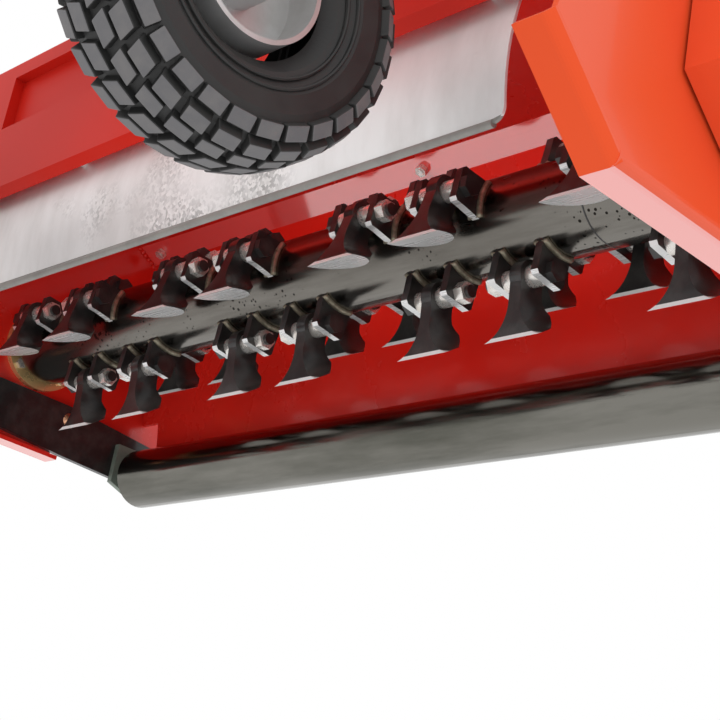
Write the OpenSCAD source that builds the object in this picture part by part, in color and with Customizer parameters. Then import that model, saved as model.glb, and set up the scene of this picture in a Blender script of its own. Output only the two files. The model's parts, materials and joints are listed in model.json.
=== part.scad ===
// Towed flail mower: a red steel hood over a rotor of hinged hammer flails, a rear ground roller,
// two front wheels, a galvanised front guard, and an engine with a belt drive at the right end.
// X runs along the rotor to the right end as seen from the front, Y runs to the rear, Z is up.
// Modules draw in the rotor's frame, with the rotor axis on X, and place() sets them on the ground.

/* [Rotor] */
// Radius of the rotor tube
tube_r = 44.45; // [43:0.05:46]
// Wall of the rotor tube
tube_wall = 6; // [4:0.5:8]
// Share of the tube's half length from its middle to the bottom row's first lug
first_lug_share = 0.7624; // [0.75:0.0001:0.775]
// Share of the tube's half length after which the lug pattern repeats
lug_period_share = 0.5361; // [0.53:0.0001:0.54]
// Share of the tube's half length between the two lugs of a pair
lug_pair_share = 0.2053; // [0.2:0.0001:0.21]
// Share of the tube's half length that the front row is shifted from the bottom row
front_shift_share = 0.1198; // [0.115:0.0001:0.125]
// Share of the tube's half length that the back row is shifted from the bottom row
back_shift_share = 0.1369; // [0.13:0.0001:0.14]
// Share of the tube's half length that the top row is shifted from the bottom row
top_shift_share = 0.2643; // [0.26:0.0001:0.27]
// Height of the rotor axis over the ground
axis_height = 155; // [153:1:157]
// Radius of the rotor's stub shafts
shaft_r = 15; // [12:0.5:17]

/* [Lugs and flails] */
// Radius of the flail bolts' circle
bolt_circle_r = 64.5; // [64:0.5:66]
// Thickness of an ear
ear_t = 8; // [6:0.5:9]
// Clear gap between the two ears of a lug
ear_gap = 41.7; // [40:0.1:43]
// Radius of the ears' outer ends
ear_end_r = 74; // [73:0.5:76]
// Width of an ear at its outer end
ear_end_w = 36; // [34:0.5:37]
// Width of an ear at the tube
ear_base_w = 38; // [36:0.5:40]
// Radius of a flail bolt's shank
bolt_r = 6; // [5:0.5:6.5]
// Outer radius of the sleeve that a flail swings on
sleeve_r = 10; // [9:0.5:10.5]
// Radius of a flail's eye
eye_r = 15.5; // [15:0.5:16]
// Width of a flail's neck along the rotor
neck_w = 13; // [11:0.5:15]
// Drop from the bolt to the flail's cutting edge
flail_drop = 60.5; // [58:0.5:61]
// Length of the cutting edge along the rotor
edge_w = 62; // [60:0.5:66]
// Radius of the arcs that flare a flail to its edge
flare_r = 32; // [31:0.5:33]
// Distance of the cutting edge in front of the bolt
edge_front = 12.5; // [11:0.5:13]
// Distance of the flail's heel behind the bolt
edge_back = 22; // [20:0.5:23]

/* [Hood] */
// Half of the width inside the side plates
inner_half = 544; // [543:1:546]
// Thickness of the side plates
plate_t = 5; // [4:0.5:6]
// Thickness of the hood sheet
sheet_t = 4; // [3:0.5:4.5]
// Distance of the rear wall's lower edge behind the rotor axis
rear_foot = 176; // [174:1:180]
// Lean of the rear wall from its lower edge to its top bend
rear_lean = 46; // [42:1:50]
// Drop of the rear wall's lower edge, over the roller, under the rotor axis
rear_low = 76; // [73:1:77]
// Drop of the rear wall's ends, over the roller arms, under the rotor axis
rear_drop = 40; // [36:1:44]
// Height inside the hood's flat top over the rotor axis
hood_rise = 190; // [186:1:194]
// Reach of the slanting facet between the rear wall and the top
facet_reach = 28; // [26:1:30]
// Drop of the slanting facet
facet_drop = 15; // [13:1:17]
// Drop of the side plates' bottom edge under the rotor axis
skirt_drop = 134; // [131:1:136]
// Width of the side plates' turned-in flange
flange_w = 33; // [28:1:34]
// Radius outside the flange's bend
bend_r = 9; // [7:0.5:12]
// Height of the deck's top over the rotor axis
deck_top = 232; // [228:1:236]
// Distance of the front panel's face in front of the rotor axis
panel_front = 226; // [224:1:228]
// Height of the front panel's lower edge over the rotor axis
panel_low = 58; // [54:1:62]

/* [Front guard] */
// Half of the guard's length
guard_half = 409; // [400:1:420]
// Thickness of the galvanised sheet
guard_t = 2.5; // [2:0.5:3]
// Radius of the guard's bow
guard_r = 233; // [231:1:235]
// Drop of the guard's lower edge under the rotor axis
guard_drop = 44; // [40:1:48]
// Height of the guard's upper edge over the rotor axis
guard_rise = 84; // [80:1:88]

/* [Roller] */
// Radius of the ground roller
roller_r = 36.5; // [35.5:0.5:37.5]
// Distance of the roller axis behind the rotor axis
roller_back = 163; // [161:1:165]
// Thickness of the roller arms and their bearing plates
arm_t = 8; // [6:0.5:8.5]

/* [Wheels] */
// Radius of the tyres
tyre_r = 133; // [131:1:135]
// Width of the tyres
tyre_w = 84; // [80:1:86]
// Distance of the wheels from the middle
wheel_x = 331; // [329:1:335]
// Gap between the tyres and the front panel
wheel_gap = 50; // [48:1:56]
// Side of the square wheel legs
leg_w = 40; // [38:1:41]
// Side of the square frame tubes
frame_w = 50; // [46:1:52]

/* [Drive] */
// Radius of the rotor pulley
rotor_pulley_r = 62; // [58:1:66]
// Radius of the engine pulley
engine_pulley_r = 45; // [42:1:48]
// Height of the crankshaft over the engine's base
crank_rise = 106; // [104:1:110]
// Distance of the crankshaft in front of the rotor axis
crank_front = 20; // [15:1:25]
// Gap between the rotor pulley and the bearing hub
pulley_gap = 3; // [2:0.5:5]
// Gap between the shafts' ends and the belt cover
cover_gap = 5; // [4:0.5:8]

/* [Drawbar] */
// Distance of the tow eye in front of the rotor axis
tow_front = 1010; // [950:5:1100]
// Radius of the tow eye's bore
tow_bore_r = 13; // [10:0.5:14]

/* [Small sizes] */
// Unit length that the small sizes are counted in
unit = 1; // [0.98:0.01:1.02]

/* [Hidden] */
$fn = 64;

overrun = 2 * unit;
weld_gap = 0.2 * unit;
bolt_gap = 0.3 * unit;
swing_gap = 0.6 * unit;
run_gap = 0.05 * unit;

// Lengths that follow the width inside the side plates
outer_half = inner_half + plate_t;
flange_t = 8 * unit;
tube_gap = 10 * unit;
tube_half = inner_half - flange_t - tube_gap;
roller_gap = 18 * unit;
roller_half = inner_half - 2 * arm_t - roller_gap;
hub_out = 22 * unit;
pulley_t = 24 * unit;
shaft_tail = 8 * unit;
cover_t = 3 * unit;
belt_x = outer_half + hub_out + pulley_gap + pulley_t / 2;
cover_x = belt_x + pulley_t / 2 + shaft_tail + cover_gap + cover_t;
first_lug_x = -tube_half * first_lug_share;
lug_period = tube_half * lug_period_share;
lug_pair = tube_half * lug_pair_share;

// The rows are front, bottom, back and top, a quarter turn apart
row_letters = "abcd";
row_counts = [8, 7, 6, 7];
row_shifts = [-front_shift_share, 0, back_shift_share, top_shift_share] * tube_half;
row_first = [0, 0, 0, -1];
row_tilt = 6.5;
row_angles = [for (row = [0:3]) 180 - row_tilt + 90 * row];
hang_angles = [-14, 4, 0, 71];
function lug_x(row, i) = let (k = i + row_first[row], pair = floor(k / 2))
    first_lug_x + row_shifts[row] + pair * lug_period + (k - 2 * pair) * lug_pair;
function nut_right(row, i) = let (k = i + row_first[row]) k - 2 * floor(k / 2) == 0;
function bolt_y(row) = bolt_circle_r * cos(row_angles[row]);
function bolt_z(row) = bolt_circle_r * sin(row_angles[row]);
function flail_name(row, i) = str("flail_", row_letters[row], i + 1);

lug_half = ear_gap / 2 + ear_t;

// Shares of a shank's radius that give its head and nut
hex_share = 1.73;
head_share = 1.25;
nut_share = 1.7;

// Ears and flails
ear_corner = 3 * unit;
ear_root_share = 0.8;
neck_drop = 22 * unit;
neck_front = 13.5 * unit;
neck_back = 14 * unit;
ground_angle = 30;
bolt_tail = 4 * unit;

// Side plate outline
nose_angle = 40;
nose_y = -panel_front - 2 * unit;
nose_len = 110 * unit;
brow_y = -panel_front - 46 * unit;
brow_z = 120 * unit;
brow_top_y = -panel_front - 14 * unit;
rear_y = 228 * unit;
rear_low_cut = 28 * unit;
flange_end_y = 40 * unit;
rear_edge_y = 58 * unit;
rear_edge_rise = 26 * unit;
rear_top_y = 160 * unit;
rear_top_drop = 120 * unit;

// Deck, panel and lip
deck_t = 5 * unit;
rear_sheet_set = 22 * unit;
rear_sheet_y = rear_foot - rear_sheet_set;
rear_sheet_drop = 90 * unit;
rear_sheet_low = hood_rise - facet_drop - rear_sheet_drop;
hood_bolt_r = 4 * unit;
hood_bolt_pitch = 483 * unit;
hood_bolt_inset = 89 * unit;
hood_bolt_x = inner_half - hood_bolt_inset;
panel_bevel = 9 * unit;
tray_half = 350 * unit;
tray_low = deck_top - 85 * unit;
tray_high = deck_top - 18 * unit;
tray_depth = 12 * unit;
hood_front = panel_front - tray_depth - sheet_t - weld_gap;
wall_turn = atan(rear_lean / (hood_rise - facet_drop + rear_low));
facet_turn = atan(facet_drop / facet_reach);
wall_foot = [rear_foot, -rear_low];
wall_head = [rear_foot - rear_lean, hood_rise - facet_drop];
facet_head = [wall_head.x - facet_reach, hood_rise];
facet_mid = (wall_head + facet_head) / 2;
wall_out = [cos(wall_turn), sin(wall_turn)];
facet_out = [sin(facet_turn), cos(facet_turn)];
top_out = [0, 1];
guard_set = 18 * unit;
guard_y = guard_r - panel_front + guard_set;
guard_z = 17 * unit;
guard_hem_r = 3.5 * unit;
guard_corner = 12 * unit;
stay_inset = 29 * unit;
stay_pitch = (guard_half - stay_inset) / 2;
stay_drop = 8 * unit;
stay_r = 6 * unit;

// Bearings at the rotor's ends
flange_r = 52 * unit;
hub_r = 30 * unit;
hub_cap = 6 * unit;
bearing_bolt_circle = 42 * unit;
bearing_bolt_r = 4 * unit;
disc_t = 10 * unit;

// Roller arms and bearing plates
roller_z = roller_r - axis_height;
axle_r = 10 * unit;
arm_front_y = -100 * unit;
arm_back_y = roller_back + 42 * unit;
arm_top_front = -56 * unit;
arm_top_back = roller_z + 51.5 * unit;
arm_low_front = -112 * unit;
arm_low_back = roller_z - 6.5 * unit;
arm_corner = 18 * unit;
arm_bolt_r = 6 * unit;
arm_dome_r = 11 * unit;
arm_bolt_y = 57 * unit;
arm_bolt_z = -74 * unit;
arm_front_bolt_y = -72 * unit;
arm_front_bolt_z = -82 * unit;
plate_bolt_y = roller_back + 7 * unit;
plate_bolt_z = roller_z + 27.5 * unit;
plate_front_y = roller_back - 32 * unit;
plate_back_y = roller_back + 41 * unit;
plate_top_z = roller_z + 38.5 * unit;
plate_heel_z = roller_z - 5.5 * unit;
plate_toe_z = roller_z - 11.5 * unit;
plate_tip_y = roller_back + 15 * unit;
plate_tip_z = roller_z - 27.5 * unit;
roller_wall = 5 * unit;

// Wheels, legs and frame
wheel_front = panel_front + wheel_gap + tyre_r;
wheel_z = tyre_r - axis_height;
tyre_corner = 26 * unit;
bead_r = 54 * unit;
rim_t = 4 * unit;
rim_edge = 7 * unit;
hub_wheel_r = 20 * unit;
hub_wheel_out = 3 * unit;
leg_side_gap = 9 * unit;
leg_x = wheel_x - tyre_w / 2 - leg_side_gap - leg_w;
leg_rise = 84 * unit;
leg_wall = 5 * unit;
socket_wall = 6 * unit;
socket_low = 22 * unit;
socket_w = leg_w + 2 * swing_gap + 2 * socket_wall;
collar_t = 8 * unit;
rail_w = 40 * unit;
rail_gap = 18 * unit;
rail_back = 110 * unit;
bar_back_y = -wheel_front + socket_w / 2 + frame_w;
bar_half = leg_x + leg_w / 2 + socket_w / 2;
tube_t = 5 * unit;
screw_r = 5 * unit;
axle_washer_r = 16 * unit;

// Drawbar
tow_pin_r = 11 * unit;
tow_pin_y = -wheel_front - 26 * unit;
tow_z = deck_top + frame_w / 2;
cheek_t = 10 * unit;
cheek_half = 38 * unit;
cheek_front = 34 * unit;
draw_w = frame_w - 2 * swing_gap;
draw_tail = 21 * unit;
eye_plate_r = 34 * unit;
eye_plate_t = 20 * unit;
tow_head = 12 * unit;

// Engine
crank_y = -crank_front;
crank_z = deck_top + crank_rise;
crank_r = 12.5 * unit;
crank_depth = 30 * unit;
block_inset = 82 * unit;
block_w = 172 * unit;
block_right = inner_half - block_inset;
block_left = block_right - block_w;
block_half = 82 * unit;
block_rise = 52 * unit;
foot_t = 10 * unit;
foot_out = 16 * unit;
cyl_angle = 25;
cyl_w = 104 * unit;
cyl_d = 92 * unit;
cyl_len = 168 * unit;
fin_t = 5 * unit;
fin_step = 12 * unit;
fin_out = 11 * unit;
fin_start = 78 * unit;
fin_count = 7;
boss_r = 34 * unit;
boss_out = 12 * unit;
cowl_r = 104 * unit;
cowl_w = 58 * unit;
starter_r = 78 * unit;
starter_w = 34 * unit;
rail_x = block_left - cowl_w - starter_w - rail_gap - rail_w / 2;
slot_count = 12;
slot_in = 34 * unit;
slot_out = 64 * unit;
slot_w = 9 * unit;
filter_w = 96 * unit;
filter_d = 74 * unit;
filter_h = 76 * unit;
filter_z = 30 * unit;
tank_corner = 22 * unit;
tank_inset_left = 8 * unit;
tank_inset_right = 6 * unit;
tank_left = block_left + tank_inset_left;
tank_right = block_right - tank_inset_right;
tank_front = -172 * unit;
tank_back = -66 * unit;
tank_low = block_rise + bolt_gap;
tank_high = 150 * unit;
cap_r = 27 * unit;
cap_h = 20 * unit;
muffler_y = 96 * unit;
muffler_d = 74 * unit;
muffler_inset_left = 22 * unit;
muffler_inset_right = 10 * unit;
muffler_left = block_left + muffler_inset_left;
muffler_right = block_right - muffler_inset_right;
muffler_low = 18 * unit;
muffler_high = 106 * unit;
tail_r = 11 * unit;
tail_len = 34 * unit;
exhaust_r = 14 * unit;

// Belt drive
groove_half = 7 * unit;
groove_d = 13 * unit;
belt_half = groove_half - bolt_gap;
belt_out = 3 * unit;
belt_in = groove_d - bolt_gap;
cover_lift = 3 * unit;
cover_back_x = outer_half + cover_lift;
cover_front_y = -176 * unit;
cover_rear_y = 100 * unit;
cover_low_z = -105 * unit;
cover_slope = 38;
cover_slope_y = -164 * unit;
cover_slope_z = -43 * unit;
cover_heel_z = -50 * unit;
cover_heel_y = 60 * unit;
cover_crown = 78 * unit;
cover_top_z = crank_z + cover_crown;
cover_brow = 60 * unit;
cover_boss_r = 9 * unit;
cover_boss_shares = [[-1.462, -0.1], [0.8, 0.15], [0.8, -0.9]];

// Extent of the whole part, from which its origin is taken
left_x = -(outer_half + hub_out);
front_y = -(tow_front + eye_plate_r);
centre_x = (left_x + cover_x) / 2;
centre_y = (front_y + rear_y) / 2;

module place() translate([-centre_x, -centre_y, axis_height]) children();
module along_x(from_x, to_x) translate([from_x, 0, 0]) rotate([90, 0, 90]) linear_extrude(to_x - from_x) children();
module rod_x(r, from_x, to_x) translate([from_x, 0, 0]) rotate([0, 90, 0]) cylinder(r = r, h = to_x - from_x);
module rod_y(r, from_y, to_y) translate([0, from_y, 0]) rotate([-90, 0, 0]) cylinder(r = r, h = to_y - from_y);
module hex_x(r, from_x, to_x) translate([from_x, 0, 0]) rotate([0, 90, 0]) cylinder(r = r, h = to_x - from_x, $fn = 6);
module hex_y(r, from_y, to_y) translate([0, from_y, 0]) rotate([-90, 0, 0]) cylinder(r = r, h = to_y - from_y, $fn = 6);
module box(low, high) translate(low) cube(high - low);
module both_sides() { children(); mirror([1, 0, 0]) children(); }
module nut_at_right(right) { if (right) children(); else mirror([1, 0, 0]) children(); }

// Visits every lug with its bolt axis on X and its nut to the right or left
module at_lugs() for (row = [0:3]) for (i = [0:row_counts[row] - 1])
    translate([lug_x(row, i), bolt_y(row), bolt_z(row)]) nut_at_right(nut_right(row, i)) children();
module at_hood_bolts() for (k = [0:2])
    translate([hood_bolt_x - k * hood_bolt_pitch, facet_mid.x, facet_mid.y]) rotate([-facet_turn, 0, 0]) children();
module at_guard_stays() for (k = [-2:2]) translate([k * stay_pitch, 0, guard_rise - stay_drop]) children();
module at_bearing_bolts() for (k = [0:3]) rotate([45 + 90 * k, 0, 0]) translate([0, bearing_bolt_circle, 0]) children();
module at_arm_bolts() {
    translate([0, arm_bolt_y, arm_bolt_z]) children();
    translate([0, arm_front_bolt_y, arm_front_bolt_z]) children();
}

// The hood: a sheet bent from the leaning rear wall through a narrow facet to the flat top
function miter(a, b) = sheet_t * (a + b) / (1 + a * b);
module hood_shell() color("firebrick") place() difference() {
    along_x(-inner_half + weld_gap, inner_half - weld_gap) polygon([
        wall_foot, wall_head, facet_head, [-hood_front, hood_rise], [-hood_front, hood_rise + sheet_t],
        facet_head + miter(facet_out, top_out), wall_head + miter(wall_out, facet_out),
        wall_foot + [sheet_t / cos(wall_turn), 0]]);
    both_sides() box([roller_half, 0, -rear_low - overrun], [inner_half, rear_foot + 2 * sheet_t, -rear_drop]);
    at_hood_bolts() translate([0, 0, -overrun]) cylinder(r = hood_bolt_r + bolt_gap, h = sheet_t + 2 * overrun);
}

// Top deck and folded rear sheet, with the welded rails, front bar, leg sockets and tow cheeks
module deck_frame() color("firebrick") place() difference() {
    union() {
        box([-inner_half + weld_gap, -panel_front + sheet_t + weld_gap, deck_top - deck_t],
            [inner_half - weld_gap, rear_sheet_y + sheet_t, deck_top]);
        box([-inner_half + weld_gap, rear_sheet_y, rear_sheet_low],
            [inner_half - weld_gap, rear_sheet_y + sheet_t, deck_top]);
        both_sides() box([rail_x - rail_w / 2, bar_back_y - frame_w / 2, deck_top],
            [rail_x + rail_w / 2, rail_back, deck_top + rail_w]);
        box([-bar_half, bar_back_y - frame_w, deck_top], [bar_half, bar_back_y, deck_top + frame_w]);
        both_sides() translate([leg_x + leg_w / 2, -wheel_front, deck_top - socket_low])
            translate([-socket_w / 2, -socket_w / 2, 0]) cube([socket_w, socket_w, frame_w + 2 * socket_low]);
        for (z = [deck_top - cheek_t, deck_top + frame_w]) translate([0, 0, z]) linear_extrude(cheek_t) {
            translate([-cheek_half, tow_pin_y]) square([2 * cheek_half, bar_back_y - tow_pin_y]);
            translate([0, tow_pin_y]) circle(cheek_front);
        }
    }
    both_sides() translate([leg_x - swing_gap, -wheel_front - leg_w / 2 - swing_gap, deck_top - socket_low - overrun])
        cube([leg_w + 2 * swing_gap, leg_w + 2 * swing_gap, frame_w + 2 * socket_low + 2 * overrun]);
    translate([0, tow_pin_y, deck_top - cheek_t - overrun])
        cylinder(r = tow_pin_r + bolt_gap, h = frame_w + 2 * cheek_t + 2 * overrun);
    both_sides() box([rail_x - rail_w / 2 + tube_t, bar_back_y - tube_t - overrun, deck_top + tube_t],
        [rail_x + rail_w / 2 - tube_t, rail_back + overrun, deck_top + rail_w - tube_t]);
    box([-bar_half - overrun, bar_back_y - frame_w + tube_t, deck_top + tube_t],
        [bar_half + overrun, bar_back_y - tube_t, deck_top + frame_w - tube_t]);
    both_sides() translate([leg_x + leg_w / 2, 0, tow_z])
        rod_y(screw_r + bolt_gap, -wheel_front - socket_w, -wheel_front - leg_w / 2);
}

// Side plate with its rolled flange along the bottom and up the nose, drawn for the right end
bend_step = 15;
module bent_flange(len) rotate([90, 0, 0]) linear_extrude(len) polygon(concat(
    [[outer_half - flange_w, plate_t], [outer_half - flange_w, 0]],
    [for (turn = [0:bend_step:90]) [outer_half - bend_r + bend_r * sin(turn), bend_r - bend_r * cos(turn)]],
    [[outer_half, 2 * bend_r], [inner_half, 2 * bend_r], [inner_half, bend_r],
        [outer_half - bend_r, plate_t]]));
nose_end_y = nose_y - nose_len * cos(nose_angle);
nose_end_z = -skirt_drop + nose_len * sin(nose_angle);
nose_in_y = nose_y + bend_r * tan(nose_angle / 2);
module side_plate() color("red") difference() {
    union() {
        along_x(inner_half, outer_half) polygon([
            [nose_in_y, -skirt_drop + bend_r],
            [flange_end_y, -skirt_drop + bend_r], [rear_edge_y, -skirt_drop + rear_edge_rise],
            [rear_y - rear_low_cut, -skirt_drop + rear_edge_rise], [rear_y, -skirt_drop + rear_edge_rise + rear_low_cut],
            [rear_y, deck_top - rear_top_drop], [rear_top_y, deck_top], [brow_top_y, deck_top], [brow_y, brow_z],
            [nose_end_y + bend_r * sin(nose_angle), nose_end_z + bend_r * cos(nose_angle)]]);
        translate([0, flange_end_y, -skirt_drop]) bent_flange(flange_end_y - nose_y);
        translate([0, nose_y, -skirt_drop]) rotate([-nose_angle, 0, 0]) bent_flange(nose_len);
    }
    rod_x(hub_r + bolt_gap, inner_half - overrun, outer_half + overrun);
    at_bearing_bolts() rod_x(bearing_bolt_r + bolt_gap, inner_half - overrun, outer_half + overrun);
    at_arm_bolts() rod_x(arm_bolt_r + bolt_gap, inner_half - overrun, outer_half + overrun);
}
module side_plate_right() place() side_plate();
module side_plate_left() place() mirror([1, 0, 0]) side_plate();

// Front panel: flat sheet with its lower edge bent back and a shallow pressed tray
module front_panel() color("firebrick") place() difference() {
    union() {
        along_x(-inner_half + weld_gap, inner_half - weld_gap) polygon([
            [-panel_front, deck_top], [-panel_front, panel_low + panel_bevel],
            [-panel_front + panel_bevel, panel_low],
            [-panel_front + panel_bevel + sheet_t * cos(45), panel_low + sheet_t * sin(45)],
            [-panel_front + sheet_t, panel_low + panel_bevel + sheet_t * tan(22.5)],
            [-panel_front + sheet_t, deck_top]]);
        box([-tray_half - sheet_t, -panel_front, tray_low - sheet_t],
            [tray_half + sheet_t, -panel_front + tray_depth + sheet_t, tray_high + sheet_t]);
    }
    box([-tray_half, -panel_front - overrun, tray_low], [tray_half, -panel_front + tray_depth, tray_high]);
}

// Galvanised guard: bowed sheet with a rolled lower hem and rounded ends, on stays behind the panel
module front_guard() color("silver") place() {
        intersection() {
            along_x(-guard_half, guard_half) translate([guard_y, guard_z]) difference() {
                circle(guard_r, $fn = 128);
                circle(guard_r - guard_t, $fn = 128);
            }
            translate([0, -guard_r / 2, 0]) rotate([90, 0, 0]) linear_extrude(guard_r) {
                translate([-guard_half, -guard_drop + guard_corner])
                    square([2 * guard_half, guard_drop + guard_rise - guard_corner]);
                translate([-guard_half + guard_corner, -guard_drop])
                    square([2 * guard_half - 2 * guard_corner, guard_drop]);
                for (side = [-1, 1]) translate([side * (guard_half - guard_corner), -guard_drop + guard_corner])
                    circle(guard_corner);
            }
        }
        translate([0, guard_hem_y, -guard_drop])
            rod_x(guard_hem_r, -guard_half + guard_corner, guard_half - guard_corner);
        at_guard_stays() rod_y(stay_r, -panel_front + sheet_t + weld_gap, stay_y + guard_t / 2);
}
guard_hem_y = guard_y - (guard_r - guard_t / 2) * cos(asin((guard_z + guard_drop) / guard_r));
stay_y = guard_y - guard_r * cos(asin((guard_rise - stay_drop - guard_z) / guard_r));

// Plated bolts, nuts and pins that hold the hood, the arms, the bearings, the legs and the drawbar
module zinc_fasteners() color("gainsboro") place() {
    at_hood_bolts() {
        translate([0, 0, -2 * hood_bolt_r])
            cylinder(r = hood_bolt_r, h = 2 * hood_bolt_r + sheet_t + hood_bolt_r * head_share / 2);
        translate([0, 0, -hood_bolt_r * nut_share])
            cylinder(r = hood_bolt_r * hex_share, h = hood_bolt_r * nut_share, $fn = 6);
        translate([0, 0, sheet_t]) cylinder(r = hood_bolt_r * hex_share, h = hood_bolt_r * head_share, $fn = 6);
    }
    both_sides() {
        at_bearing_bolts() {
            hex_x(bearing_bolt_r * hex_share, inner_half - flange_t - bearing_bolt_r * head_share, inner_half - flange_t);
            rod_x(bearing_bolt_r, inner_half - flange_t, outer_half);
            hex_x(bearing_bolt_r * hex_share, outer_half, outer_half + bearing_bolt_r * nut_share);
        }
        at_arm_bolts() {
            intersection() {
                translate([inner_half - arm_t + arm_dome_r / 2, 0, 0]) sphere(arm_dome_r);
                rod_x(arm_dome_r, inner_half - arm_t - arm_dome_r, inner_half - arm_t);
            }
            rod_x(arm_bolt_r, inner_half - arm_t, outer_half);
            hex_x(arm_bolt_r * hex_share, outer_half, outer_half + arm_bolt_r * nut_share);
        }
        translate([0, plate_bolt_y, plate_bolt_z]) {
            hex_x(arm_bolt_r * hex_share, inner_half - 2 * arm_t - arm_bolt_r * head_share, inner_half - 2 * arm_t);
            rod_x(arm_bolt_r, inner_half - 2 * arm_t, inner_half - bolt_gap);
        }
        translate([leg_x + leg_w / 2, 0, tow_z]) {
            rod_y(screw_r, -wheel_front - socket_w / 2 - 3 * screw_r, -wheel_front - leg_w / 2 - swing_gap);
            hex_y(screw_r * hex_share, -wheel_front - socket_w / 2 - 3 * screw_r, -wheel_front - socket_w / 2);
        }
    }
    translate([0, tow_pin_y, deck_top - cheek_t - tow_head])
        cylinder(r = tow_pin_r, h = frame_w + 2 * cheek_t + tow_head);
    translate([0, tow_pin_y, deck_top + frame_w + cheek_t]) cylinder(r = tow_pin_r * hex_share, h = tow_head);
}

// Rotor: tube with end discs and stub shafts; the right shaft reaches the pulley
module rotor_tube() color("dimgray") place() {
    difference() {
        rod_x(tube_r, -tube_half, tube_half);
        rod_x(tube_r - tube_wall, -tube_half + disc_t, tube_half - disc_t);
    }
    rod_x(shaft_r, -outer_half - hub_out + hub_cap + overrun, -tube_half);
    rod_x(shaft_r, tube_half, belt_x + pulley_t / 2 + shaft_tail);
}

// Ears welded to the tube in pairs
module ear_outline() difference() {
    polygon([[tube_r * ear_root_share, -ear_base_w / 2], [tube_r, -ear_base_w / 2],
        [bolt_circle_r - ear_corner, -ear_end_w / 2], [ear_end_r - ear_corner, -ear_end_w / 2],
        [ear_end_r, -ear_end_w / 2 + ear_corner], [ear_end_r, ear_end_w / 2 - ear_corner],
        [ear_end_r - ear_corner, ear_end_w / 2], [bolt_circle_r - ear_corner, ear_end_w / 2],
        [tube_r, ear_base_w / 2], [tube_r * ear_root_share, ear_base_w / 2]]);
    circle(tube_r + weld_gap);
    translate([bolt_circle_r, 0]) circle(bolt_r + bolt_gap);
}
module rotor_ears() color("dimgray") place() for (row = [0:3]) for (i = [0:row_counts[row] - 1])
    translate([lug_x(row, i), 0, 0]) rotate([row_angles[row], 0, 0]) both_sides() along_x(ear_gap / 2, lug_half) ear_outline();

// Sleeves between the ears, on which the flails swing
module flail_sleeves() color("silver") place() at_lugs() along_x(-ear_gap / 2 + weld_gap, ear_gap / 2 - weld_gap)
    difference() {
        circle(sleeve_r);
        circle(bolt_r + bolt_gap);
    }

// Flail bolts through the ears and sleeves
module flail_bolts() color("dimgray") place() at_lugs() {
    hex_x(bolt_r * hex_share, -lug_half - bolt_r * head_share, -lug_half);
    rod_x(bolt_r, -lug_half, lug_half + bolt_r * nut_share + bolt_tail);
}

// Lock nuts on the flail bolts
module flail_nuts() color("silver") place() at_lugs() along_x(lug_half, lug_half + bolt_r * nut_share) difference() {
    circle(bolt_r * hex_share, $fn = 6);
    circle(bolt_r + run_gap);
}

// A hammer flail: narrow neck flared to a wide ground edge, hung on its sleeve
flare_drop = flail_drop * cos(ground_angle) - edge_front * sin(ground_angle)
    - sqrt(flare_r * flare_r - pow(neck_w / 2 + flare_r - edge_w / 2, 2));
module flail_front() rotate([90 + ground_angle, 0, 0]) linear_extrude(4 * edge_w, center = true) difference() {
    translate([-edge_w / 2, -2 * flail_drop]) square([edge_w, 4 * flail_drop]);
    for (side = [-1, 1]) {
        translate([side * (neck_w / 2 + flare_r), -flare_drop]) circle(flare_r);
        translate([side * (neck_w / 2 + edge_w / 2) - edge_w / 2, -flare_drop]) square([edge_w, 3 * flail_drop]);
    }
}
heel_z = -flail_drop + (edge_front + edge_back) * tan(ground_angle);
module flail_side() along_x(-edge_w, edge_w) polygon([[-neck_front, 0], [-edge_front, -flail_drop],
    [edge_back, heel_z], [neck_back, -neck_drop], [neck_back, 0]]);
module flail_plan() translate([0, edge_back - edge_w / 2, -2 * flail_drop]) cylinder(r = edge_w / 2, h = 3 * flail_drop);
module flail_shape() difference() {
    union() {
        rod_x(eye_r, -neck_w / 2, neck_w / 2);
        intersection() {
            flail_front();
            flail_side();
            flail_plan();
        }
    }
    rod_x(sleeve_r + swing_gap, -neck_w, neck_w);
}
module flail(row, i) color("dimgray") place() translate([lug_x(row, i), bolt_y(row), bolt_z(row)])
    rotate([hang_angles[row], 0, 0]) flail_shape();

// Grooved pulley on the X axis
module grooved_disc(r) difference() {
    rod_x(r, belt_x - pulley_t / 2, belt_x + pulley_t / 2);
    along_x(belt_x - groove_half, belt_x + groove_half) difference() {
        circle(r + overrun);
        circle(r - groove_d);
    }
}
module rotor_pulley() color("gray") place() difference() {
    grooved_disc(rotor_pulley_r);
    rod_x(shaft_r + run_gap, belt_x - pulley_t, belt_x + pulley_t);
}

// Bearing flanges: a disc inside each side plate with the hub through it; the left hub is capped
module bearing_half() difference() {
    union() {
        rod_x(flange_r, inner_half - flange_t, inner_half);
        rod_x(hub_r, inner_half - flange_t, outer_half + hub_out);
    }
    rod_x(shaft_r + run_gap, inner_half - 2 * flange_t, outer_half + hub_out - hub_cap);
    at_bearing_bolts() rod_x(bearing_bolt_r + bolt_gap, inner_half - 2 * flange_t, inner_half + overrun);
}
module bearing_flanges() color("goldenrod") place() {
    mirror([1, 0, 0]) bearing_half();
    difference() {
        bearing_half();
        rod_x(shaft_r + run_gap, inner_half, outer_half + 2 * hub_out);
    }
}

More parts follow.
